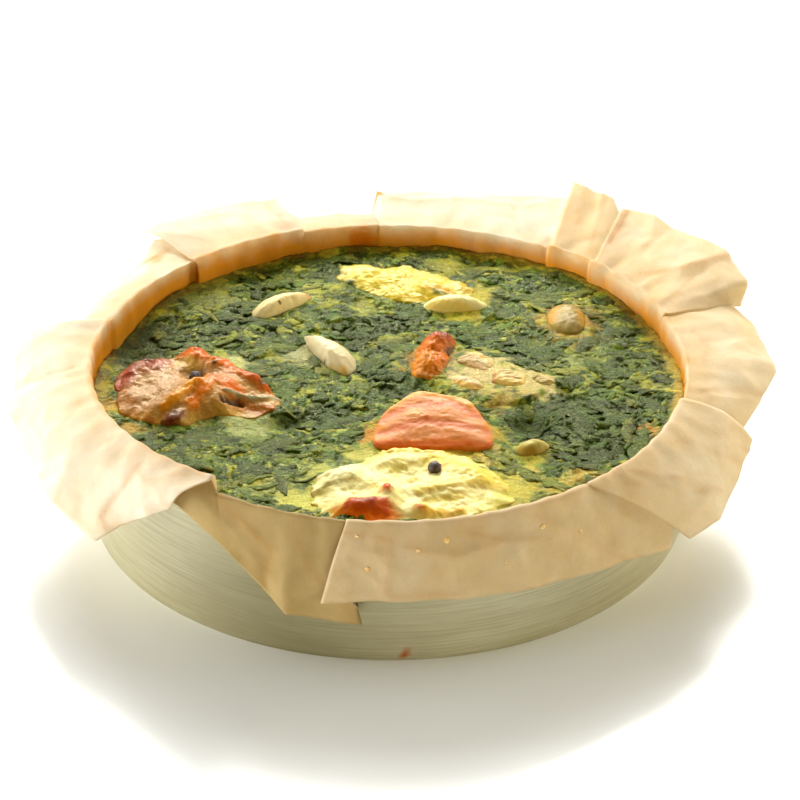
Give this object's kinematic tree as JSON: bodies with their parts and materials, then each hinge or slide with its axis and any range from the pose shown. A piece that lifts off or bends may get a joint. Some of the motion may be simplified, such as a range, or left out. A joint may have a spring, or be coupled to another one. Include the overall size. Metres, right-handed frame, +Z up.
{
  "type": "spinach quiche",
  "caption": "Deep round spinach and egg quiche with garlic, salmon and cheese, in its metal tin with a pleated parchment liner.",
  "frame": {"origin": "centre of the tin's flat underside", "axes": "+Z up, +Y towards the back of the quiche as shown, +X to the right"},
  "size_m": [0.2551, 0.2364, 0.0607],
  "materials": {
    "tin_metal": "satin",
    "parchment": "matte",
    "spinach_egg": "satin",
    "roasted_fish": "satin",
    "salmon": "satin",
    "cheese": "satin",
    "egg": "satin",
    "garlic": "satin",
    "roasted_crust": "satin",
    "pale_fish": "satin"
  },
  "bodies": {
    "root": {"tin": "tin_metal", "liner": "parchment", "filling": "spinach_egg", "fish_chunk": "roasted_fish", "salmon_flake": "salmon", "cheese_front": "cheese", "egg_patch_back": "egg", "garlic_clove_left": "garlic", "garlic_clove_centre": "garlic", "garlic_clove_right": "garlic", "garlic_clove_back": "garlic", "garlic_clove_small": "garlic", "roasted_piece": "roasted_crust", "pale_flake_upper": "pale_fish", "pale_flake_lower": "pale_fish", "pale_flake_middle": "pale_fish", "pale_flake_right": "pale_fish"}
  },
  "joints": []
}
